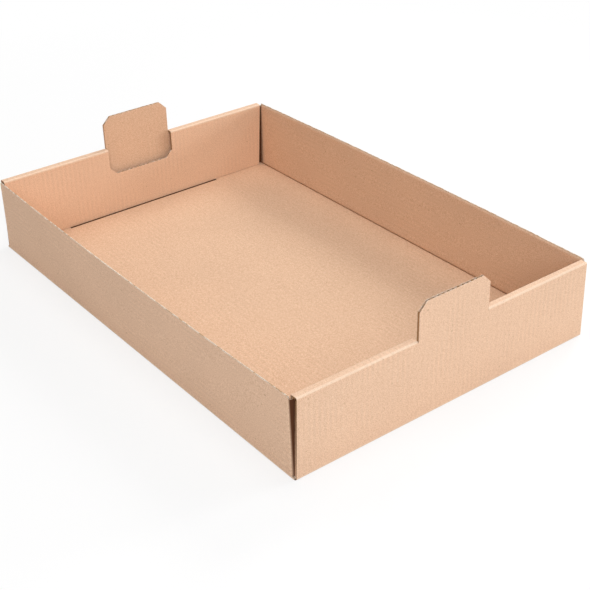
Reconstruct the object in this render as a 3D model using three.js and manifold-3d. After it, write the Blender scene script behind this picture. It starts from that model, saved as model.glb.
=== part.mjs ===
// Folded tray of corrugated board: one die-cut sheet with single long walls, and with double end
// walls that roll over the corner flaps and lock into the base. Each end wall has a stacking tab.
// Millimetres: X runs across the end walls, Y across the long walls, Z up from the underside.
import * as THREE from 'three';
import Module from 'manifold-3d';
import { mergeVertices } from 'three/addons/utils/BufferGeometryUtils.js';

// Folded sizes
const trayLength = 600;
const trayWidth = 400;
const wallHeight = 93;
const longWallBow = 4;
const bowStepsAlong = 24;
const bowStepsUp = 4;

// Board and folds
const board = 2.8;
const foldInnerRadius = 0.4;
const foldSegments = 5;
const layerGap = 0.5;
const cutGap = 0.4;

// End walls
const cornerReveal = 1.5;
const rimSideGap = 0.7;
const innerPanelSideGap = 2.7;
const innerPanelTaper = 4;

// Stacking tabs
const tabWidth = 95;
const tabRise = 42;
const tabCorner = 10;

// Locking tongues at the foot of the inner panels
const tongueWidth = 230;
const tongueTaper = 3;
const tongueShort = 0.3;

// Corner flaps
const flapLength = 110;
const flapEndTaper = 6;

// Sizes that follow from those above
const foldRadius = foldInnerRadius + board;
const halfLength = trayLength / 2;
const halfWidth = trayWidth / 2;
const rimWidth = 3 * board + 2 * layerGap;
const outerPanelInside = halfLength - board;
const flapOutside = outerPanelInside - layerGap;
const innerPanelInside = halfLength - rimWidth;
const longWallEnd = flapOutside - foldRadius;
const longWallInside = halfWidth - board;
const outerFootHalf = halfWidth - cornerReveal;
const rimHalf = longWallInside - rimSideGap;
const innerTopHalf = longWallInside - innerPanelSideGap;
const innerFootHalf = innerTopHalf - innerPanelTaper;
const tabHalf = tabWidth / 2;
const notchHalf = tabHalf + cutGap;
const notchDepth = tabRise - rimWidth + board;
const panelFoot = board + cutGap;
const flapTop = wallHeight - board - cutGap;

// Points closer together than this are one point
const vertexTolerance = 1e-4;

const wasm = await Module();
wasm.setup();

// A closed solid from a closed geometry
function toSolid(geometry) {
  const bare = geometry.clone();
  bare.deleteAttribute('normal');
  bare.deleteAttribute('uv');
  const merged = mergeVertices(bare, vertexTolerance);
  const vertProperties = new Float32Array(merged.attributes.position.array);
  const triVerts = new Uint32Array(merged.index.array);
  return new wasm.Manifold(new wasm.Mesh({ numProp: 3, vertProperties, triVerts }));
}

// The geometry of a finished solid
function toGeometry(solid) {
  const mesh = solid.getMesh();
  const geometry = new THREE.BufferGeometry();
  geometry.setAttribute('position', new THREE.BufferAttribute(mesh.vertProperties, 3));
  geometry.setIndex(new THREE.BufferAttribute(mesh.triVerts, 1));
  geometry.computeVertexNormals();
  return geometry;
}

// A flat outline as a shape, and its mirror image across the upright middle line
function outline(points) {
  return new THREE.Shape(points.map(([across, along]) => new THREE.Vector2(across, along)));
}

function mirrored(rightHalf) {
  const leftHalf = rightHalf.map(([across, along]) => [-across, along]).reverse();
  return outline([...rightHalf, ...leftHalf]);
}

function extruded(shape, depth) {
  return new THREE.ExtrudeGeometry(shape, { depth, bevelEnabled: false, curveSegments: foldSegments });
}

// A piece of board that stands across X: the outline lies in Y and Z, the thickness runs along +X
function acrossX(shape, fromX, depth) {
  const axes = new THREE.Matrix4().makeBasis(
    new THREE.Vector3(0, 1, 0),
    new THREE.Vector3(0, 0, 1),
    new THREE.Vector3(1, 0, 0),
  );
  return extruded(shape, depth).applyMatrix4(axes).translate(fromX, 0, 0);
}

// A strip that runs along Y: the section lies in X and Z
function alongY(shape, fromY, toY) {
  const axes = new THREE.Matrix4().makeBasis(
    new THREE.Vector3(1, 0, 0),
    new THREE.Vector3(0, 0, 1),
    new THREE.Vector3(0, -1, 0),
  );
  return extruded(shape, toY - fromY).applyMatrix4(axes).translate(0, toY, 0);
}

// The section of a right-angled fold round its centre, from one quarter's start to its end
function foldSection(centreAcross, centreUp, quarter) {
  const start = (quarter * Math.PI) / 2;
  const end = start + Math.PI / 2;
  const shape = new THREE.Shape();
  shape.absarc(centreAcross, centreUp, foldRadius, start, end, false);
  shape.absarc(centreAcross, centreUp, foldInnerRadius, end, start, true);
  return shape;
}

function withTwin(solid) {
  return solid.add(solid.rotate([0, 0, 180]));
}

// Base: the flat middle of the sheet, with a slot for the tongue at each end
function makeBase() {
  const x = halfLength - foldRadius;
  const y = halfWidth - foldRadius;
  const plate = toSolid(extruded(mirrored([[x, -y], [x, y]]), board));
  return plate.subtract(withTwin(makeSlot()));
}

function makeSlot() {
  const fromX = innerPanelInside - cutGap;
  const toX = innerPanelInside + board + cutGap;
  const y = tongueWidth / 2 + cutGap;
  const hole = extruded(outline([[fromX, -y], [toX, -y], [toX, y], [fromX, y]]), 3 * board);
  return toSolid(hole.translate(0, 0, -board));
}

// End wall's outer panel, with the stacking tab standing on in its plane
function makeOuterPanel() {
  const top = wallHeight - foldRadius;
  const tabTop = wallHeight + tabRise;
  const shape = mirrored([
    [outerFootHalf, foldRadius],
    [rimHalf, top],
    [tabHalf, top],
    [tabHalf, tabTop - tabCorner],
    [tabHalf - tabCorner, tabTop],
  ]);
  return toSolid(acrossX(shape, outerPanelInside, board));
}

// Fold between the base and an end wall
function makeEndFold() {
  const section = foldSection(halfLength - foldRadius, foldRadius, 3);
  return toSolid(alongY(section, -outerFootHalf, outerFootHalf));
}

// Rim strip on one side of the tab, with its two folds
function makeRimSide() {
  const outerFoldStart = halfLength - foldRadius;
  const innerFoldStart = innerPanelInside + foldRadius;
  const foldCentre = wallHeight - foldRadius;
  const strip = outline([
    [innerFoldStart, notchHalf],
    [outerFoldStart, notchHalf],
    [outerFoldStart, rimHalf],
    [innerFoldStart, innerTopHalf],
  ]);
  const flat = toSolid(extruded(strip, board).translate(0, 0, wallHeight - board));
  const outerFold = toSolid(alongY(foldSection(outerFoldStart, foldCentre, 0), notchHalf, rimHalf));
  const innerFold = toSolid(alongY(foldSection(innerFoldStart, foldCentre, 1), notchHalf, innerTopHalf));
  return flat.add(outerFold).add(innerFold);
}

// End wall's inner panel: it has the tab's notch on top and the tongue at its foot
function makeInnerPanel() {
  const top = wallHeight - foldRadius;
  const notchFoot = wallHeight - notchDepth;
  const tongueHalf = tongueWidth / 2;
  const shape = mirrored([
    [tongueHalf - tongueTaper, tongueShort],
    [tongueHalf, board],
    [tongueHalf, panelFoot],
    [innerFootHalf, panelFoot],
    [innerTopHalf, top],
    [notchHalf, top],
    [notchHalf, notchFoot + tabCorner],
    [notchHalf - tabCorner, notchFoot],
  ]);
  return toSolid(acrossX(shape, innerPanelInside, board));
}

function makeEndWall() {
  const rimSide = makeRimSide();
  return makeEndFold()
    .add(makeOuterPanel())
    .add(rimSide)
    .add(rimSide.mirror([0, 1, 0]))
    .add(makeInnerPanel());
}

// Long wall: single board that bows outwards towards the middle of its top edge
function makeLongWall() {
  const height = wallHeight - foldRadius;
  const length = 2 * longWallEnd;
  const geometry = new THREE.BoxGeometry(length, board, height, bowStepsAlong, 1, bowStepsUp);
  geometry.translate(0, -halfWidth + board / 2, foldRadius + height / 2);
  const position = geometry.attributes.position;
  for (let i = 0; i < position.count; i += 1) {
    const along = Math.min(Math.abs(position.getX(i)) / longWallEnd, 1);
    const rise = Math.max((position.getZ(i) - foldRadius) / height, 0);
    position.setY(i, position.getY(i) - longWallBow * (1 - along ** 2) * rise);
  }
  return toSolid(geometry);
}

// Fold between the base and a long wall, which runs on under the corner fold
function makeLongFold() {
  const reach = flapOutside - cutGap;
  const section = foldSection(-halfWidth + foldRadius, foldRadius, 2);
  return toSolid(acrossX(section, -reach, 2 * reach));
}

// Corner flap on one end of a long wall, behind the end wall's outer panel
function makeCornerFlap() {
  const foldCentreY = -halfWidth + foldRadius;
  const flapEnd = -halfWidth + flapLength;
  const corner = extruded(foldSection(longWallEnd, foldCentreY, 3), flapTop - foldRadius);
  const shape = outline([
    [foldCentreY, panelFoot],
    [flapEnd, panelFoot + flapEndTaper],
    [flapEnd, flapTop - flapEndTaper],
    [foldCentreY, flapTop],
  ]);
  const panel = toSolid(acrossX(shape, flapOutside - board, board));
  return toSolid(corner.translate(0, 0, foldRadius)).add(panel);
}

function makeLongSide() {
  const flap = makeCornerFlap();
  return makeLongFold()
    .add(makeLongWall())
    .add(flap)
    .add(flap.mirror([1, 0, 0]));
}

const kraftBoard = new THREE.MeshStandardMaterial({ color: 0xd9b18c, roughness: 0.88, metalness: 0 });

const tray = makeBase().add(withTwin(makeEndWall())).add(withTwin(makeLongSide()));
const foldedTray = new THREE.Mesh(toGeometry(tray), kraftBoard);
foldedTray.name = 'folded_tray';

const group = new THREE.Group();
group.add(foldedTray);

export default group;
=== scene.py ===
from math import cos, pi, radians, sin

import bpy
from mathutils import Matrix, Vector


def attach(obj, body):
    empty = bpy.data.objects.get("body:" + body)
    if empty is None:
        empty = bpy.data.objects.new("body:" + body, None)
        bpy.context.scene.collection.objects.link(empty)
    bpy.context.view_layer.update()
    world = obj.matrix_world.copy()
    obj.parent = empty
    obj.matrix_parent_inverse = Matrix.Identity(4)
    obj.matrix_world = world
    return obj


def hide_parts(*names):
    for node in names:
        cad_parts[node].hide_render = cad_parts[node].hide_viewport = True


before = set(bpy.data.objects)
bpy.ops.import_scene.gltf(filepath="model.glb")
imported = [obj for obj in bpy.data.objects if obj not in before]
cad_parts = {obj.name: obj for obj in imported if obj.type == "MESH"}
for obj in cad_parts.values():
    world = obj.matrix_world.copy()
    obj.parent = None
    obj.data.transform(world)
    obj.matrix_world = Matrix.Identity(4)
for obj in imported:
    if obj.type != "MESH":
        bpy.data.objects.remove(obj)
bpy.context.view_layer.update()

mm = 0.001


# Helpers

# An sRGB hex colour as linear red, green, blue and alpha
def linear(hexColour):
    channels = [int(hexColour[i:i + 2], 16) / 255 for i in (1, 3, 5)]
    return tuple(c / 12.92 if c <= 0.04045 else ((c + 0.055) / 1.055) ** 2.4 for c in channels) + (1.0,)


# Adds a node. Settings are its properties or its inputs' values, with colours in hex. Links are what
# feeds its inputs: a socket, or a node whose first output is meant.
def addNode(tree, kind, settings=None, links=None):
    node = tree.nodes.new(kind)
    for key, value in (settings or {}).items():
        if isinstance(key, str) and hasattr(node, key):
            setattr(node, key, value)
        elif isinstance(value, str) and value.startswith("#"):
            node.inputs[key].default_value = linear(value)
        else:
            node.inputs[key].default_value = value
    for key, source in (links or {}).items():
        socket = source.outputs[0] if isinstance(source, bpy.types.Node) else source
        tree.links.new(socket, node.inputs[key])
    return node


# Evenly spaced values from start to end, both included
def spread(start, end, count):
    return [start + (end - start) * i / count for i in range(count + 1)]


# The folded sheet

tray = {  # mm
    "length": 600, "width": 400, "height": 93,
    "bow": 4,  # how far a long wall leans out at the middle of its top edge
    "board": 2.8, "foldInside": 0.4, "layerGap": 0.5, "cutGap": 0.4,
    "cornerReveal": 1.5, "rimSideGap": 0.7, "innerSideGap": 1.6, "innerTaper": 5.2,
    "tabWidth": 95, "tabRise": 42, "tabCorner": 10,
    "tongueWidth": 230, "tongueTaper": 3, "tongueShort": 0.3,
    "flapLength": 110, "flapTaper": 6,
    "slotReveal": 2.6,  # how far a slot stays open beside its tongue
}
crease = {  # mm: a scored fold crushes the flutes, so it is sharper than the board is thick
    "radius": 1.7,
    "crushed": 1.3, "start": 2.1,  # the flat beside a fold is crushed up to one and whole from the other
    "squeeze": 0.56, "squeezeInFold": 0.5,  # share of the board's thickness that is left
}
crushedEdge = {"squeeze": 0.4, "reach": 2.4}  # share of the thickness left at the edge, and mm from it
corner = {  # mm: the flaps give way at their folds, most at the top, so the corners have a gap, dark with its own shade and with painted shade on the flaps
    "sink": 1.8, "topRadius": 1.9, "straightAt": 14,
    "panelShortAtTop": 1.0, "panelShortAtFoot": 0.3,
    "evenFrom": 0.3,  # share of the flap's length from which its divisions are even
}
flute = {  # mm
    "pitch": 6.4,
    "cutsPerPitch": 8, "clearOfCuts": 0.2,  # share of a division that an even place keeps from a cut
    "liner": 0.28, "medium": 0.2, "overlap": 0.02,
    "outerSag": 0.1, "innerSag": 0.09,  # washboard: the liner dips between two flute crests
    "unevenness": 0.7,  # noise takes up to this share of the washboard away
    "patchesPerMetre": 14.0, "patchDetail": 2.0,
}
steps = {
    "fold": 4, "base": 4, "outerPanel": 2, "rim": 1, "innerPanel": 2, "chamfer": 4, "tab": 2,
    "aboveFlap": 4, "flapSlope": 3, "flap": 3,
}
samePlaceDecimals = 4  # points that agree to so many decimals of a millimetre are one

halfLength = tray["length"] / 2
halfWidth = tray["width"] / 2
height = tray["height"]
foldRadius = tray["foldInside"] + tray["board"]
creaseTop = height - crease["radius"]
rimWidth = 3 * tray["board"] + 2 * tray["layerGap"]
innerPanelX = halfLength - rimWidth
flapX = halfLength - tray["board"] - tray["layerGap"]
longWallEnd = flapX - foldRadius
baseEndX = halfLength - crease["radius"]
baseEndY = halfWidth - crease["radius"]
innerFoldX = innerPanelX + crease["radius"]
slotStart = innerPanelX - tray["slotReveal"]
slotEnd = innerPanelX + tray["board"] + tray["cutGap"]
footHalf = halfWidth - tray["cornerReveal"] - corner["panelShortAtFoot"]
rimHalf = halfWidth - tray["board"] - tray["rimSideGap"] - corner["panelShortAtTop"]
innerTopHalf = halfWidth - tray["board"] - tray["innerSideGap"]
innerFootHalf = innerTopHalf - tray["innerTaper"]
tabHalf = tray["tabWidth"] / 2
tabTop = height + tray["tabRise"]
notchHalf = tabHalf + tray["cutGap"]
notchFoot = height - (tray["tabRise"] - rimWidth + tray["board"])
tongueHalf = tray["tongueWidth"] / 2
slotHalf = tongueHalf + tray["cutGap"]
panelFoot = tray["board"] + tray["cutGap"]
flapTop = height - tray["board"] - tray["cutGap"]
flapEnd = halfWidth - tray["flapLength"]

# Places along the base, from its middle to the slot and from the slot to the end wall's fold
baseXs = spread(0, slotStart, steps["base"])
besideSlotXs = [slotEnd, baseEndX - crease["start"], baseEndX - crease["crushed"], baseEndX]

# Heights on a long wall and on its corner flaps
cutStep = flute["pitch"] / flute["cutsPerPitch"]
flapLevels = spread(foldRadius, flapTop, round((flapTop - foldRadius) / cutStep))
topLevels = spread(flapTop, height, steps["aboveFlap"])[1:]
wallLevels = [crease["radius"], crease["radius"] + crease["crushed"]] + flapLevels + topLevels

# Shares of a flap's length: close together where it still slopes away from its fold
slopeShares = spread(0, corner["straightAt"] / tray["flapLength"], steps["flapSlope"])
flapShares = slopeShares + spread(corner["evenFrom"], 1, steps["flap"])


# Where the sheet is divided across its flutes: evenly, and exactly at each cut
def columnPlaces():
    cuts = [notchHalf - tray["tabCorner"], tabHalf, notchHalf, tongueHalf, slotHalf, baseEndY, footHalf]
    clear = flute["clearOfCuts"] * cutStep
    even = [i * cutStep for i in range(int(footHalf / cutStep) + 1)]
    kept = [place for place in even if min(abs(place - cut) for cut in cuts) > clear]
    return sorted(kept + cuts)


columns = columnPlaces()
sheet = {
    "index": {}, "places": [], "faces": [],
    "inwards": [],  # towards the board's inner side
    "across": [],  # mm across the flutes from the middle of the sheet
    "squeeze": [],  # share of the thickness that is left
    "paintedShade": [],  # share of painted shade: 1 where the surface lies behind an end wall or in a slot
}


def addPoint(place, inward, across, squeeze, paintedShade=0):
    key = tuple(round(value, samePlaceDecimals) for value in place)
    if key not in sheet["index"]:
        sheet["index"][key] = len(sheet["places"])
        sheet["places"].append(Vector(place))
        sheet["inwards"].append(Vector(inward))
        sheet["across"].append(across)
        sheet["squeeze"].append(squeeze)
        sheet["paintedShade"].append(paintedShade)
    return sheet["index"][key]


# Joins neighbouring rows with faces that look to the board's inner side
def addFaces(rows):
    for lower, upper in zip(rows, rows[1:]):
        for i in range(len(lower) - 1):
            corners = []
            for point in (lower[i], lower[i + 1], upper[i + 1], upper[i]):
                if point not in corners:
                    corners.append(point)
            if len(corners) < 3:
                continue
            places = [sheet["places"][point] for point in corners]
            normal = (places[2] - places[0]).cross(places[-1] - places[1])
            if len(corners) == 3:
                normal = (places[1] - places[0]).cross(places[2] - places[0])
            if normal.dot(sheet["inwards"][corners[0]]) < 0:
                corners.reverse()
            sheet["faces"].append(corners)


# One quarter of the tray is given, and the other three are its mirror images
def addQuarters(rows):
    for signX in (1, -1):
        for signY in (1, -1):
            addFaces([
                [
                    addPoint(
                        (signX * place[0], signY * place[1], place[2]),
                        (signX * inward[0], signY * inward[1], inward[2]),
                        signY * across,
                        squeeze,
                        *paintedShade,
                    )
                    for place, inward, across, squeeze, *paintedShade in row
                ]
                for row in rows
            ])


# How much of the board's thickness is left this far from a fold's start, on the flat beside it
def squeezeAt(distance):
    share = (distance - crease["crushed"]) / (crease["start"] - crease["crushed"])
    return crease["squeeze"] + (1 - crease["squeeze"]) * min(max(share, 0), 1)


# A strip of the path along the flutes, from the middle of the base to an end wall's foot, over the
# rim and down to the tongue. Each station on it is x, z, inward x and z, nearest and furthest y,
# squeeze and, where it isn't 0, the share of painted shade.
def addStrip(stations):
    rows = []
    for x, z, inwardX, inwardZ, nearest, furthest, squeeze, *paintedShade in stations:
        row = []
        for column in columns:
            y = min(max(column, nearest), furthest)
            left = squeeze
            if z == 0:
                left = min(squeeze, squeezeAt(baseEndY - y))  # the base beside the long folds
            elif x == halfLength and z > height / 2 and y <= notchHalf:
                left = 1  # no crease crosses the tab's root
            row.append(((x, y, z), (inwardX, 0, inwardZ), y, left, *paintedShade))
        rows.append(row)
    addQuarters(rows)


def foldStations(centreX, centreZ, startDegrees, nearest, furthest):
    stations = []
    for angle in spread(radians(startDegrees), radians(startDegrees + 90), steps["fold"]):
        x = centreX + crease["radius"] * cos(angle)
        z = centreZ + crease["radius"] * sin(angle)
        stations.append((x, z, -cos(angle), -sin(angle), nearest, furthest, crease["squeezeInFold"]))
    return stations


# Places on a flat between two creases, with the two steps of the crush at each end
def flatPlaces(start, end, count):
    way = 1 if end > start else -1
    crushed = way * crease["crushed"]
    full = way * crease["start"]
    return [start, start + crushed] + spread(start + full, end - full, count) + [end - crushed, end]


def baseStation(x, nearest):
    return (x, 0, 0, 1, nearest, baseEndY, squeezeAt(baseEndX - x))


# Base, with a slot for the tongue at each end
def addBase():
    addStrip([baseStation(x, 0) for x in baseXs])
    addStrip([baseStation(x, slotHalf) for x in (slotStart, longWallEnd, slotEnd)])
    addStrip([baseStation(x, 0) for x in besideSlotXs])


def outerReachAt(z):
    return footHalf + (rimHalf - footHalf) * z / height


# End walls' outer panels, with the fold at their foot
def addOuterPanels():
    addStrip(foldStations(baseEndX, crease["radius"], -90, 0, footHalf))
    stations = []
    for z in flatPlaces(crease["radius"], creaseTop, steps["outerPanel"]):
        squeeze = squeezeAt(min(z - crease["radius"], creaseTop - z))
        stations.append((halfLength, z, -1, 0, 0, outerReachAt(z), squeeze))
    addStrip(stations)


# Rim strips beside the tabs, each between its two folds
def addRims():
    outerReach = outerReachAt(creaseTop)
    addStrip(foldStations(baseEndX, creaseTop, 0, notchHalf, outerReach))
    stations = []
    for x in flatPlaces(baseEndX, innerFoldX, steps["rim"]):
        share = (baseEndX - x) / (baseEndX - innerFoldX)
        reach = outerReach + (innerTopHalf - outerReach) * share
        squeeze = squeezeAt(min(baseEndX - x, x - innerFoldX))
        stations.append((x, height, 0, -1, notchHalf, reach, squeeze))
    addStrip(stations)
    addStrip(foldStations(innerFoldX, creaseTop, 90, notchHalf, innerTopHalf))


def innerStation(z, nearest):
    reach = innerFootHalf + (innerTopHalf - innerFootHalf) * (z - panelFoot) / (creaseTop - panelFoot)
    return (innerPanelX, z, 1, 0, nearest, reach, squeezeAt(creaseTop - z))


# End walls' inner panels, with the tab's notch on top and the tongue at their foot
def addInnerPanels():
    notchCornerTop = notchFoot + tray["tabCorner"]
    crush = [creaseTop, creaseTop - crease["crushed"], creaseTop - crease["start"]]
    besideNotch = [innerStation(z, notchHalf) for z in crush + [notchCornerTop]]
    for z in spread(notchCornerTop, notchFoot, steps["chamfer"])[1:]:
        besideNotch.append(innerStation(z, notchHalf - (notchCornerTop - z)))
    addStrip(besideNotch)
    addStrip([innerStation(z, 0) for z in spread(notchFoot, panelFoot, steps["innerPanel"])])
    tongueEnd = tongueHalf - tray["tongueTaper"]
    addStrip([
        (innerPanelX, panelFoot, 1, 0, 0, tongueHalf, 1),
        # The tongue in its slot is painted in shade
        (innerPanelX, tray["board"], 1, 0, 0, tongueHalf, 1, 1),
        (innerPanelX, tray["tongueShort"], 1, 0, 0, tongueEnd, 1, 1),
    ])


def addTabs():
    cornerStart = tabTop - tray["tabCorner"]
    heights = spread(creaseTop, cornerStart, steps["tab"])
    stations = [(halfLength, z, -1, 0, 0, tabHalf, 1) for z in heights]
    for z in spread(cornerStart, tabTop, steps["chamfer"])[1:]:
        stations.append((halfLength, z, -1, 0, 0, tabHalf - (z - cornerStart), 1))
    addStrip(stations)


# How far the sheet has come round a long side's fold, and then up its wall
def acrossAt(z):
    return baseEndY + crease["radius"] * pi / 2 + z - crease["radius"]


def riseAt(z):
    return max(z - foldRadius, 0) / (height - foldRadius)


def wallEndAt(z):
    return longWallEnd - corner["sink"] * riseAt(z)


def cornerRadiusAt(z):
    return foldRadius + (corner["topRadius"] - foldRadius) * riseAt(z)


def wallY(x, z):
    return halfWidth + tray["bow"] * (1 - (x / longWallEnd) ** 2) * riseAt(z)


# The cutting rule crushes a long wall's top edge
def crushAt(z):
    share = min((height - z) / crushedEdge["reach"], 1)
    return crushedEdge["squeeze"] + (1 - crushedEdge["squeeze"]) * share


# Fold between the base and a long wall
def addLongFolds():
    xs = baseXs + [longWallEnd] + besideSlotXs
    rows = []
    for angle in spread(0, pi / 2, steps["fold"]):
        y = baseEndY + crease["radius"] * sin(angle)
        z = crease["radius"] - crease["radius"] * cos(angle)
        inward = (0, -sin(angle), cos(angle))
        across = baseEndY + crease["radius"] * angle
        rows.append([((x, y, z), inward, across, crease["squeezeInFold"]) for x in xs])
    addQuarters(rows)


# Long walls, and a lip at their corners' foot that keeps light from coming in
def addLongWalls():
    inward = (0, -1, 0)
    walls = []
    lips = []
    for z in wallLevels:
        across = acrossAt(z)
        beside = squeezeAt(z - crease["radius"])
        squeeze = min(beside, crushAt(z))
        wallXs = baseXs + [wallEndAt(z)]
        walls.append([((x, wallY(x, z), z), inward, across, squeeze) for x in wallXs])
        if z <= foldRadius:
            lipXs = [longWallEnd] + besideSlotXs
            lips.append([((x, halfWidth, z), inward, across, beside) for x in lipXs])
    addQuarters(walls)
    addQuarters(lips)


def flapRow(share):
    taper = tray["flapTaper"] * share
    row = []
    for level in flapLevels:
        z = min(max(level, foldRadius + taper), flapTop - taper)
        start = wallY(wallEndAt(z), z) - cornerRadiusAt(z)
        y = start + (flapEnd - start) * share
        straight = min(share * tray["flapLength"] / corner["straightAt"], 1)
        fromX = wallEndAt(z) + cornerRadiusAt(z)
        x = fromX + (flapX - fromX) * straight
        squeeze = crease["squeeze"] + (1 - crease["squeeze"]) * straight
        # A flap lies wholly behind the end wall's outer panel and is painted in shade
        row.append(((x, y, z), (-1, 0, 0), acrossAt(z), squeeze, 1))
    return row


# Corner flaps behind the end walls' outer panels, with the upright folds that lead into them
def addCornerFlaps():
    rows = []
    for angle in spread(0, pi / 2, steps["fold"]):
        row = []
        for level in flapLevels + topLevels:
            z = min(level, flapTop + (level - flapTop) * (1 - sin(angle)))
            end = wallEndAt(z)
            radius = cornerRadiusAt(z)
            x = end + radius * sin(angle)
            y = wallY(end, z) - radius + radius * cos(angle)
            inward = (-sin(angle), -cos(angle), 0)
            squeeze = min(crease["squeeze"], crushAt(level))
            # The painted shade grows as the upright fold turns in behind the end wall
            row.append(((x, y, z), inward, acrossAt(z), squeeze, sin(angle)))
        rows.append(row)
    addQuarters(rows)
    addQuarters([flapRow(share) for share in flapShares])


def storeOnPoints(mesh, name, values):
    attribute = mesh.attributes.new(name, "FLOAT", "POINT")
    attribute.data.foreach_set("value", values)


# The folded surface as a mesh, with what the papers need stored on its points
def makeFoldedSheet():
    addBase()
    addOuterPanels()
    addRims()
    addInnerPanels()
    addTabs()
    addLongFolds()
    addLongWalls()
    addCornerFlaps()
    mesh = bpy.data.meshes.new("foldedSheet")
    mesh.from_pydata([place * mm for place in sheet["places"]], [], sheet["faces"])
    storeOnPoints(mesh, "across", [across * mm for across in sheet["across"]])
    storeOnPoints(mesh, "squeeze", sheet["squeeze"])
    storeOnPoints(mesh, "paintedShade", sheet["paintedShade"])
    inwards = [value for inward in sheet["inwards"] for value in inward]
    mesh.attributes.new("inward", "FLOAT_VECTOR", "POINT").data.foreach_set("vector", inwards)
    mesh.validate()
    print("folded sheet:", len(mesh.vertices), "points,", len(mesh.polygons), "faces")
    return mesh


# Materials

kraft = {  # what both liners share
    "roughness": 0.88, "ior": 1.45,
    # The deep brown is painted shade, for surfaces behind an end wall or in a slot
    "fleck": "#9a6f4a", "paleFleck": "#f3dfca", "paintedShade": "#562e10",
    "noises": {  # size of the features in mm, detail, and what is added to the liner's seed
        "fibres": (1.1, 3, 0), "clouds": (90, 1, 2), "patches": (45, 2, 3),
        "darkFlecks": (3.0, 0, 4), "paleFlecks": (3.0, 0, 5),
    },
    # where each noise or stored value sets in and where it is full, and how much it then changes
    "fibres": {"From Min": 0.33, "From Max": 0.67},
    "clouds": {"From Min": 0.35, "From Max": 0.65, "To Min": 0.985, "To Max": 1.015},
    "patches": {"From Min": 0.4, "From Max": 0.65},
    # at the folds: on the outer liner partly wear and partly a painted highlight, on the inner liner painted
    # shade
    "creaseWearAndPaintedLightLimits": {"From Min": crease["squeeze"], "From Max": crease["squeezeInFold"], "To Max": 0.4},
    "darkFlecks": {"From Min": 0.83, "From Max": 0.87, "To Max": 0.45},
    "paleFlecks": {"From Min": 0.82, "From Max": 0.87, "To Max": 0.5},
    # painted shade behind the end walls and in the slots
    "paintedShadeLimits": {"From Min": 0.3, "From Max": 0.95},
    "bump": {"Strength": 0.25, "Distance": 0.06 * mm},
}
liners = {  # the share before the seed is painted light and shade of the flutes underneath: how much they lighten and darken the paper
    # The outer liner's fold colour is partly wear and partly a painted highlight; the inner liner's is
    # painted shade
    "outer": {"pale": "#f0cdb0", "deep": "#d8b091", "creaseWearAndPaintedLight": "#f3dfca", "paintedWashboardShade": 0.03, "seed": 1},
    "inner": {"pale": "#e8c5a7", "deep": "#d0a888", "creaseWearAndPaintedLight": "#562e10", "paintedWashboardShade": 0.025, "seed": 11},
}


def newMaterial(name):
    material = bpy.data.materials.new(name)
    material.use_nodes = True
    material.node_tree.nodes.clear()
    return material, material.node_tree


# Noise whose features are as large as the given millimetres, at a place of its own for each seed
def noiseOf(tree, place, sizeMm, detail, seed):
    shift = {"operation": "ADD", 1: (seed, 2 * seed, 3 * seed)}
    shifted = addNode(tree, "ShaderNodeVectorMath", shift, {0: place})
    size = {"Scale": 1 / (sizeMm * mm), "Detail": detail}
    return addNode(tree, "ShaderNodeTexNoise", size, {"Vector": shifted})


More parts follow.
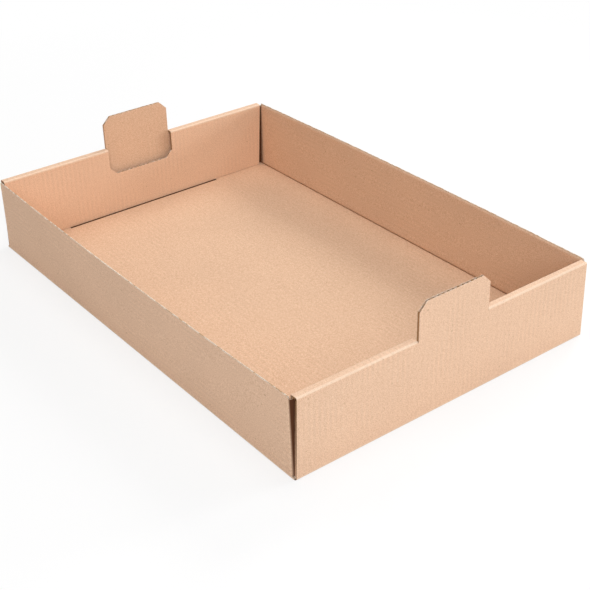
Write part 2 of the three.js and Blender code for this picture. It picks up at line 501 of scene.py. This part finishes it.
# Kraft liner: unbleached paper, matt and a little cloudy, with short fibres and a few dark and pale
# flecks. Painted light and shade of the flutes under it show as very faint streaks. Its folds are paler
# on the outer liner, partly wear and partly a painted highlight, and painted darker with shade on the
# inner one. Where it turns in behind an end wall or into a slot it is painted a deep brown shade, which
# gives the corner gaps the depth that soft light from all round takes away. The real fibres are finer
# than the grain, which is drawn so coarse to show at all.
def kraftLiner(name, look):
    material, tree = newMaterial(name)
    place = addNode(tree, "ShaderNodeTexCoord").outputs["Object"]
    noises = {
        noise: noiseOf(tree, place, sizeMm, detail, look["seed"] + shift)
        for noise, (sizeMm, detail, shift) in kraft["noises"].items()
    }
    stored = {
        attribute: addNode(tree, "ShaderNodeAttribute", {"attribute_name": attribute}).outputs["Fac"]
        for attribute in ("across", "squeeze", "paintedShade")
    }

    grain = addNode(tree, "ShaderNodeMapRange", kraft["fibres"], {"Value": noises["fibres"]})
    mixed = {"data_type": "RGBA", "A": look["deep"], "B": look["pale"]}
    colour = addNode(tree, "ShaderNodeMix", mixed, {"Factor": grain}).outputs["Result"]

    clouds = addNode(tree, "ShaderNodeMapRange", kraft["clouds"], {"Value": noises["clouds"]})
    # Faint streaks across the flutes: painted light and shade of the washboard, on top of the washboard in
    # the shape
    perPitch = {"operation": "MULTIPLY", 1: 2 * pi / (flute["pitch"] * mm)}
    turns = addNode(tree, "ShaderNodeMath", perPitch, {0: stored["across"]})
    wave = addNode(tree, "ShaderNodeMath", {"operation": "COSINE"}, {0: turns})
    patchy = {**kraft["patches"], "To Max": look["paintedWashboardShade"]}
    paintedWashboardShade = addNode(tree, "ShaderNodeMapRange", patchy, {"Value": noises["patches"]})
    paintedWashboardTone = addNode(tree, "ShaderNodeMath", {"operation": "MULTIPLY_ADD", 2: 1.0}, {0: wave, 1: paintedWashboardShade})
    tone = addNode(tree, "ShaderNodeMath", {"operation": "MULTIPLY"}, {0: clouds, 1: paintedWashboardTone})
    colour = addNode(tree, "ShaderNodeVectorMath", {"operation": "SCALE"}, {0: colour, "Scale": tone})

    layers = [
        # painted highlight and wear at the outer folds, painted shade at the inner folds
        (stored["squeeze"], kraft["creaseWearAndPaintedLightLimits"], look["creaseWearAndPaintedLight"]),
        (noises["darkFlecks"], kraft["darkFlecks"], kraft["fleck"]),
        (noises["paleFlecks"], kraft["paleFlecks"], kraft["paleFleck"]),
        # painted shade where the liner lies behind an end wall or in a slot
        (stored["paintedShade"], kraft["paintedShadeLimits"], kraft["paintedShade"]),
    ]
    for mask, limits, layer in layers:
        share = addNode(tree, "ShaderNodeMapRange", limits, {"Value": mask})
        laid = {"data_type": "RGBA", "B": layer}
        colour = addNode(tree, "ShaderNodeMix", laid, {"Factor": share, "A": colour}).outputs["Result"]

    bump = addNode(tree, "ShaderNodeBump", kraft["bump"], {"Height": noises["fibres"]})
    matt = {"Roughness": kraft["roughness"], "IOR": kraft["ior"]}
    shader = addNode(tree, "ShaderNodeBsdfPrincipled", matt, {"Base Color": colour, "Normal": bump})
    addNode(tree, "ShaderNodeOutputMaterial", links={"Surface": shader})
    return material


medium = {
    "pale": "#b58a5e", "deep": "#9c724a", "roughness": 0.92,
    "fibreMm": 1.1, "detail": 2, "seed": 31, "grain": {"From Min": 0.3, "From Max": 0.7},
}


# Corrugated medium: thinner and browner recycled paper
def corrugatedMedium():
    material, tree = newMaterial("corrugated medium")
    place = addNode(tree, "ShaderNodeTexCoord").outputs["Object"]
    fibres = noiseOf(tree, place, medium["fibreMm"], medium["detail"], medium["seed"])
    grain = addNode(tree, "ShaderNodeMapRange", medium["grain"], {"Value": fibres})
    mixed = {"data_type": "RGBA", "A": medium["deep"], "B": medium["pale"]}
    colour = addNode(tree, "ShaderNodeMix", mixed, {"Factor": grain}).outputs["Result"]
    matt = {"Roughness": medium["roughness"], "IOR": kraft["ior"]}
    shader = addNode(tree, "ShaderNodeBsdfPrincipled", matt, {"Base Color": colour})
    addNode(tree, "ShaderNodeOutputMaterial", links={"Surface": shader})
    return material


cutEdge = {
    # the dark brown is painted shade inside an open flute
    "paper": "#cfa880", "fuzz": "#fbf2e4", "paintedChannelShade": "#74502f", "roughness": 0.95,
    "fuzzMm": 5, "detail": 3, "seed": 41, "fuzzShare": {"From Min": 0.4, "From Max": 0.54},
    # middle and reach of the stretches across the sheet, in mm, where a cut runs along a flute and the edge
    # is painted in shade
    "alongFlutes": [(tabHalf + tray["cutGap"] / 2, 1), (halfWidth - 6.5, 6)],
}


# Cut edge of the paper: a torn, fuzzy line that is paler than the liner's face in places. On the sides of
# end walls and tabs, where the cut runs along a flute and leaves its inside open, it is painted dark with
# the shade inside the flute.
def cutPaperEdge():
    material, tree = newMaterial("cut paper edge")
    place = addNode(tree, "ShaderNodeTexCoord").outputs["Object"]
    fuzz = noiseOf(tree, place, cutEdge["fuzzMm"], cutEdge["detail"], cutEdge["seed"])
    share = addNode(tree, "ShaderNodeMapRange", cutEdge["fuzzShare"], {"Value": fuzz})
    mixed = {"data_type": "RGBA", "A": cutEdge["paper"], "B": cutEdge["fuzz"]}
    colour = addNode(tree, "ShaderNodeMix", mixed, {"Factor": share}).outputs["Result"]
    across = addNode(tree, "ShaderNodeAttribute", {"attribute_name": "across"}).outputs["Fac"]
    eitherSide = addNode(tree, "ShaderNodeMath", {"operation": "ABSOLUTE"}, {0: across})
    for middle, reach in cutEdge["alongFlutes"]:
        stretch = {"operation": "COMPARE", 1: middle * mm, 2: reach * mm}
        along = addNode(tree, "ShaderNodeMath", stretch, {0: eitherSide})
        # painted shade of the open flute
        shadedChannel = {"data_type": "RGBA", "B": cutEdge["paintedChannelShade"]}
        colour = addNode(tree, "ShaderNodeMix", shadedChannel, {"Factor": along, "A": colour}).outputs["Result"]
    matt = {"Roughness": cutEdge["roughness"], "IOR": kraft["ior"]}
    shader = addNode(tree, "ShaderNodeBsdfPrincipled", matt, {"Base Color": colour})
    addNode(tree, "ShaderNodeOutputMaterial", links={"Surface": shader})
    return material


# Geometry Nodes: the papers of the board, laid along the folded sheet

weldDistance = 1e-6  # metres


# A tree with named inputs, given by the kinds of their sockets
def newTree(name, kinds):
    tree = bpy.data.node_groups.new(name, "GeometryNodeTree")
    sockets = {}
    for label, kind in kinds.items():
        socket = tree.interface.new_socket(label, in_out="INPUT", socket_type="NodeSocket" + kind)
        sockets[label] = socket.identifier
    tree.interface.new_socket("Geometry", in_out="OUTPUT", socket_type="NodeSocketGeometry")
    given = addNode(tree, "NodeGroupInput").outputs
    return tree, sockets, given


def paperTree():
    tree, sockets, given = newTree("paper of the board", {
        "Geometry": "Geometry", "Flute Pitch": "Float", "Middle Depth": "Float", "Wave Depth": "Float",
        "Thickness": "Float", "Unevenness": "Float", "Face Paper": "Material", "Edge Paper": "Material",
    })
    kinds = {"across": "FLOAT", "squeeze": "FLOAT", "inward": "FLOAT_VECTOR"}
    stored = {
        name: addNode(tree, "GeometryNodeInputNamedAttribute", {"data_type": kind, "Name": name})
        for name, kind in kinds.items()
    }

    # A wave across the flutes, a little uneven, that the folds squeeze together
    turns = addNode(tree, "ShaderNodeMath", {"operation": "DIVIDE"}, {
        0: stored["across"], 1: given["Flute Pitch"]})
    angle = addNode(tree, "ShaderNodeMath", {"operation": "MULTIPLY", 1: 2 * pi}, {0: turns})
    wave = addNode(tree, "ShaderNodeMath", {"operation": "COSINE"}, {0: angle})
    patches = addNode(tree, "ShaderNodeTexNoise", {
        "Scale": flute["patchesPerMetre"], "Detail": flute["patchDetail"]})
    loss = addNode(tree, "ShaderNodeMath", {"operation": "MULTIPLY"}, {0: patches, 1: given["Unevenness"]})
    share = addNode(tree, "ShaderNodeMath", {"operation": "SUBTRACT", 0: 1.0}, {1: loss})
    swing = addNode(tree, "ShaderNodeMath", {"operation": "MULTIPLY"}, {0: wave, 1: share})
    whole = addNode(tree, "ShaderNodeMath", {"operation": "MULTIPLY_ADD"}, {
        0: swing, 1: given["Wave Depth"], 2: given["Middle Depth"]})
    depth = addNode(tree, "ShaderNodeMath", {"operation": "MULTIPLY"}, {0: whole, 1: stored["squeeze"]})
    offset = addNode(tree, "ShaderNodeVectorMath", {"operation": "SCALE"}, {
        0: stored["inward"], "Scale": depth})

    # One face of the paper, its other face and the cut edge between them, closed into a shell
    laid = addNode(tree, "GeometryNodeSetPosition", links={"Geometry": given["Geometry"], "Offset": offset})
    raised = addNode(tree, "GeometryNodeExtrudeMesh", {"mode": "FACES", "Individual": False}, {
        "Mesh": laid, "Offset": stored["inward"], "Offset Scale": given["Thickness"]}).outputs
    mark = {"data_type": "BOOLEAN", "domain": "FACE", "Name": "cutEdge"}
    marked = addNode(tree, "GeometryNodeStoreNamedAttribute", mark, {
        "Geometry": raised["Mesh"], "Value": raised["Side"]})
    back = addNode(tree, "GeometryNodeFlipFaces", links={"Mesh": laid})
    joined = addNode(tree, "GeometryNodeJoinGeometry", links={"Geometry": marked})
    tree.links.new(back.outputs[0], joined.inputs["Geometry"])
    closed = addNode(tree, "GeometryNodeMergeByDistance", {"Distance": weldDistance}, {"Geometry": joined})

    # The faces are smooth, and the cut edges are crisp and have a paper of their own
    cut = addNode(tree, "GeometryNodeInputNamedAttribute", {"data_type": "BOOLEAN", "Name": "cutEdge"})
    face = addNode(tree, "FunctionNodeBooleanMath", {"operation": "NOT"}, {0: cut})
    smooth = addNode(tree, "GeometryNodeSetShadeSmooth", {"domain": "FACE"}, {
        "Geometry": closed, "Shade Smooth": face})
    crisp = addNode(tree, "GeometryNodeSetShadeSmooth", {"domain": "EDGE", "Shade Smooth": False}, {
        "Geometry": smooth, "Selection": cut})
    plain = addNode(tree, "GeometryNodeRealizeInstances", links={"Geometry": crisp})
    faced = addNode(tree, "GeometryNodeSetMaterial", links={
        "Geometry": plain, "Material": given["Face Paper"]})
    edged = addNode(tree, "GeometryNodeSetMaterial", links={
        "Geometry": faced, "Selection": cut, "Material": given["Edge Paper"]})
    addNode(tree, "NodeGroupOutput", links={0: edged})
    return tree, sockets


# Runs a tree on a mesh, and gives the result to the tray's body as a plain mesh
def makePiece(name, sourceMesh, paper, tree, sockets, values):
    source = bpy.data.objects.new(name + ".source", sourceMesh)
    sourceMesh.materials.append(paper)
    bpy.context.collection.objects.link(source)
    modifier = source.modifiers.new(name, "NODES")
    modifier.node_group = tree
    for socket, value in values.items():
        modifier[sockets[socket]] = value
    evaluated = source.evaluated_get(bpy.context.evaluated_depsgraph_get())
    mesh = bpy.data.meshes.new_from_object(evaluated)
    bpy.data.objects.remove(source)
    mesh.name = name
    piece = bpy.data.objects.new(name, mesh)
    bpy.context.collection.objects.link(piece)
    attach(piece, "root")
    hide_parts("folded_tray")
    mesh.calc_loop_triangles()
    print(name + ":", len(mesh.loop_triangles), "triangles")


def makeBoard():
    sheetMesh = makeFoldedSheet()
    tree, sockets = paperTree()
    edgePaper = cutPaperEdge()
    mediumThickness = flute["medium"] + 2 * flute["overlap"]
    swing = tray["board"] - 2 * flute["liner"] - flute["medium"]
    papers = {  # mm: depths from the outer side of the board
        "outer_liner": {
            "middle": flute["outerSag"] / 2, "wave": flute["outerSag"] / 2, "thickness": flute["liner"],
            "unevenness": flute["unevenness"], "paper": kraftLiner("outer kraft liner", liners["outer"]),
        },
        "fluting": {
            "middle": (tray["board"] - mediumThickness) / 2, "wave": swing / 2, "thickness": mediumThickness,
            "unevenness": 0.0, "paper": corrugatedMedium(),
        },
        "inner_liner": {
            "middle": tray["board"] - flute["liner"] - flute["innerSag"] / 2, "wave": flute["innerSag"] / 2,
            "thickness": flute["liner"],
            "unevenness": flute["unevenness"], "paper": kraftLiner("inner kraft liner", liners["inner"]),
        },
    }
    for name, values in papers.items():
        makePiece(name, sheetMesh.copy(), values["paper"], tree, sockets, {
            "Flute Pitch": flute["pitch"] * mm,
            "Middle Depth": values["middle"] * mm,
            "Wave Depth": -values["wave"] * mm,
            "Thickness": values["thickness"] * mm,
            "Unevenness": values["unevenness"],
            "Face Paper": values["paper"],
            "Edge Paper": edgePaper,
        })


# Torn fibres: the near long wall's top edge is frayed where the cutting rule was blunt

tornEdge = {  # mm
    "from": -288, "to": 70, "worstFrom": -95, "worstTo": -15,  # x
    "spacing": 0.8,
    "amount": 0.45, "amountAtWorst": 1.0,  # share of the places that hold a fibre
    "width": 0.5, "length": 1.1, "sides": 4,
    "root": 0.1, "depth": 0.6,  # below the edge, and in from the wall's face
    "leanFrom": (-1.2, -1.2, -0.3), "leanTo": (0.0, 1.2, 0.3),  # radians: along the edge and inwards only
    "scaleFrom": (0.6, 0.6, 0.5), "scaleTo": (1.3, 1.3, 1.2),
    "seed": 5, "colour": "#fdf8ee", "roughness": 0.95,
}


# Thin cones on the mesh's points, each leaning and sized at random
def fibreTree():
    tree, sockets, given = newTree("torn fibres", {
        "Geometry": "Geometry", "Width": "Float", "Length": "Float", "Seed": "Int", "Paper": "Material",
    })
    seed = {"Seed": given["Seed"]}
    amount = addNode(tree, "GeometryNodeInputNamedAttribute", {"data_type": "FLOAT", "Name": "amount"})
    chance = addNode(tree, "FunctionNodeRandomValue", {"data_type": "FLOAT"}, seed).outputs["Value"]
    held = addNode(tree, "FunctionNodeCompare", {"operation": "LESS_THAN"}, {"A": chance, "B": amount})
    lean = addNode(tree, "FunctionNodeRandomValue", {
        "data_type": "FLOAT_VECTOR", "Min": tornEdge["leanFrom"], "Max": tornEdge["leanTo"]}, seed)
    turn = addNode(tree, "FunctionNodeEulerToRotation", links={0: lean})
    scale = addNode(tree, "FunctionNodeRandomValue", {
        "data_type": "FLOAT_VECTOR", "Min": tornEdge["scaleFrom"], "Max": tornEdge["scaleTo"]}, seed)
    radius = addNode(tree, "ShaderNodeMath", {"operation": "MULTIPLY", 1: 0.5}, {0: given["Width"]})
    fibre = addNode(tree, "GeometryNodeMeshCone", {"Vertices": tornEdge["sides"], "Radius Top": 0.0}, {
        "Radius Bottom": radius, "Depth": given["Length"]})
    laid = addNode(tree, "GeometryNodeInstanceOnPoints", links={
        "Points": given["Geometry"], "Selection": held, "Instance": fibre, "Rotation": turn, "Scale": scale})
    plain = addNode(tree, "GeometryNodeRealizeInstances", links={"Geometry": laid})
    papered = addNode(tree, "GeometryNodeSetMaterial", links={"Geometry": plain, "Material": given["Paper"]})
    addNode(tree, "NodeGroupOutput", links={0: papered})
    return tree, sockets


# Torn kraft fibres: so thin that light comes through, which makes them nearly white
def tornPaper():
    material, tree = newMaterial("torn kraft fibres")
    shader = addNode(tree, "ShaderNodeBsdfPrincipled", {
        "Base Color": tornEdge["colour"], "Roughness": tornEdge["roughness"], "IOR": kraft["ior"]})
    addNode(tree, "ShaderNodeOutputMaterial", links={"Surface": shader})
    return material


def makeTornEdge():
    count = round((tornEdge["to"] - tornEdge["from"]) / tornEdge["spacing"])
    xs = spread(tornEdge["from"], tornEdge["to"], count)
    z = height - tornEdge["root"]
    mesh = bpy.data.meshes.new("tornEdge")
    mesh.from_pydata([(x * mm, (tornEdge["depth"] - wallY(x, z)) * mm, z * mm) for x in xs], [], [])
    worst = [tornEdge["worstFrom"] <= x <= tornEdge["worstTo"] for x in xs]
    storeOnPoints(mesh, "amount", [
        tornEdge["amountAtWorst"] if bad else tornEdge["amount"] for bad in worst])
    tree, sockets = fibreTree()
    paper = tornPaper()
    makePiece("torn_fibres", mesh, paper, tree, sockets, {
        "Width": tornEdge["width"] * mm,
        "Length": tornEdge["length"] * mm,
        "Seed": tornEdge["seed"],
        "Paper": paper,
    })


# Floor, lights and camera

stage = {  # metres
    "floorSize": 14.0, "floorDrop": 0.0002,
    "floorGlow": 0.72, "floorColour": "#f4f4f4",
    "shadowReach": 0.5, "whiteFrom": 1.1,  # from the middle: the floor turns plain white between them
    "paintedShadeUnderTray": "#4a3524", "margin": 0.003,  # painted shade up to this far inside the footprint
    "skyStrength": 0.3,
}


# Pale floor: for the camera it glows, wholly further out and in part beside the tray, where it keeps the
# shadow. Right under the tray it is painted dark with shade, so that nothing shines up through the slots.
def paleFloor():
    material, tree = newMaterial("pale floor")
    rays = addNode(tree, "ShaderNodeLightPath").outputs
    seen = addNode(tree, "ShaderNodeMath", {"operation": "MAXIMUM"}, {
        0: rays["Is Camera Ray"], 1: rays["Is Glossy Ray"]})
    seen = addNode(tree, "ShaderNodeMath", {"operation": "MAXIMUM"}, {
        0: seen, 1: rays["Is Transmission Ray"]})
    place = addNode(tree, "ShaderNodeTexCoord").outputs["Object"]
    away = addNode(tree, "ShaderNodeVectorMath", {"operation": "LENGTH"}, {0: place}).outputs["Value"]
    white = addNode(tree, "ShaderNodeMapRange", {
        "From Min": stage["shadowReach"], "From Max": stage["whiteFrom"], "To Min": stage["floorGlow"],
    }, {"Value": away})
    whiteSeen = addNode(tree, "ShaderNodeMath", {"operation": "MULTIPLY"}, {0: seen, 1: white})

    darkHalves = (halfLength * mm - stage["margin"], halfWidth * mm - stage["margin"], 1)
    eitherSide = addNode(tree, "ShaderNodeVectorMath", {"operation": "ABSOLUTE"}, {0: place})
    shares = addNode(tree, "ShaderNodeVectorMath", {"operation": "DIVIDE", 1: darkHalves}, {0: eitherSide})
    parts = addNode(tree, "ShaderNodeSeparateXYZ", links={0: shares}).outputs
    furthest = addNode(tree, "ShaderNodeMath", {"operation": "MAXIMUM"}, {0: parts["X"], 1: parts["Y"]})
    beside = addNode(tree, "ShaderNodeMath", {"operation": "GREATER_THAN", 1: 1.0}, {0: furthest})

    share = addNode(tree, "ShaderNodeMath", {"operation": "MULTIPLY"}, {0: whiteSeen, 1: beside})
    # painted shade under the tray
    paintedUnderTray = {"data_type": "RGBA", "A": stage["paintedShadeUnderTray"], "B": stage["floorColour"]}
    colour = addNode(tree, "ShaderNodeMix", paintedUnderTray, {"Factor": beside}).outputs["Result"]
    matt = addNode(tree, "ShaderNodeBsdfDiffuse", links={"Color": colour})
    glow = addNode(tree, "ShaderNodeEmission", {"Strength": 1.0})
    mixed = addNode(tree, "ShaderNodeMixShader", links={0: share, 1: matt, 2: glow})
    addNode(tree, "ShaderNodeOutputMaterial", links={"Surface": mixed})
    return material


def makeFloor():
    half = stage["floorSize"] / 2
    corners = [(-half, -half, 0), (half, -half, 0), (half, half, 0), (-half, half, 0)]
    mesh = bpy.data.meshes.new("floor")
    mesh.from_pydata(corners, [], [(0, 1, 2, 3)])
    mesh.materials.append(paleFloor())
    floor = bpy.data.objects.new("floor", mesh)
    bpy.context.collection.objects.link(floor)
    floor.location.z = -stage["floorDrop"]


# Studio light from all round, which the camera sees as plain white
def makeWorld():
    world = bpy.data.worlds.new("studio")
    world.use_nodes = True
    tree = world.node_tree
    tree.nodes.clear()
    rays = addNode(tree, "ShaderNodeLightPath").outputs
    sky = addNode(tree, "ShaderNodeBackground", {"Color": "#ffffff", "Strength": stage["skyStrength"]})
    white = addNode(tree, "ShaderNodeBackground", {"Color": "#ffffff", "Strength": 1.0})
    mixed = addNode(tree, "ShaderNodeMixShader", links={0: rays["Is Camera Ray"], 1: sky, 2: white})
    addNode(tree, "ShaderNodeOutputWorld", links={"Surface": mixed})
    bpy.context.scene.world = world


lamps = {  # azimuth from +X towards +Y and elevation in degrees, size in metres, power in watts
    "low": {"azimuth": 75, "elevation": 12, "size": 0.8, "power": 34},
    "back": {"azimuth": 110, "elevation": 35, "size": 1.0, "power": 32},
    "key": {"azimuth": 62, "elevation": 42, "size": 0.8, "power": 8},
    "fill": {"azimuth": -32, "elevation": 35, "size": 2.0, "power": 36},
    "top": {"azimuth": 0, "elevation": 89, "size": 2.0, "power": 31},
}
lampDistance = 3.0


def makeLamps():
    for name, values in lamps.items():
        turn = radians(values["azimuth"])
        lift = radians(values["elevation"])
        away = Vector((cos(turn) * cos(lift), sin(turn) * cos(lift), sin(lift)))
        light = bpy.data.lights.new(name, "AREA")
        light.shape = "DISK"
        light.size = values["size"]
        light.energy = values["power"]
        lamp = bpy.data.objects.new(name, light)
        bpy.context.collection.objects.link(lamp)
        lamp.location = away * lampDistance
        lamp.rotation_euler = away.to_track_quat("Z", "Y").to_euler()


view = {
    "azimuth": 53.07, "elevation": 30.74, "roll": -1.404,  # degrees, azimuth from -Y towards +X
    "target": (0.0901, -0.0369, 0.045), "distance": 1.3307,  # metres
    "lens": 73.46, "sensor": 36,  # mm
}


def makeCamera():
    turn = radians(view["azimuth"])
    lift = radians(view["elevation"])
    roll = radians(view["roll"])
    back = Vector((sin(turn) * cos(lift), -cos(turn) * cos(lift), sin(lift)))
    right = Vector((cos(turn), sin(turn), 0))
    up = back.cross(right)
    rolledRight = right * cos(roll) + up * sin(roll)
    rolledUp = back.cross(rolledRight)
    camera = bpy.data.cameras.new("camera")
    camera.lens = view["lens"]
    camera.sensor_width = view["sensor"]
    eye = bpy.data.objects.new("camera", camera)
    bpy.context.collection.objects.link(eye)
    turned = Matrix((rolledRight, rolledUp, back)).transposed().to_4x4()
    eye.matrix_world = Matrix.Translation(Vector(view["target"]) + back * view["distance"]) @ turned
    bpy.context.scene.camera = eye


makeCamera()
makeBoard()
makeTornEdge()
makeFloor()
makeWorld()
makeLamps()
bpy.context.scene.view_settings.view_transform = "Standard"
print("stage, lamps and camera set")
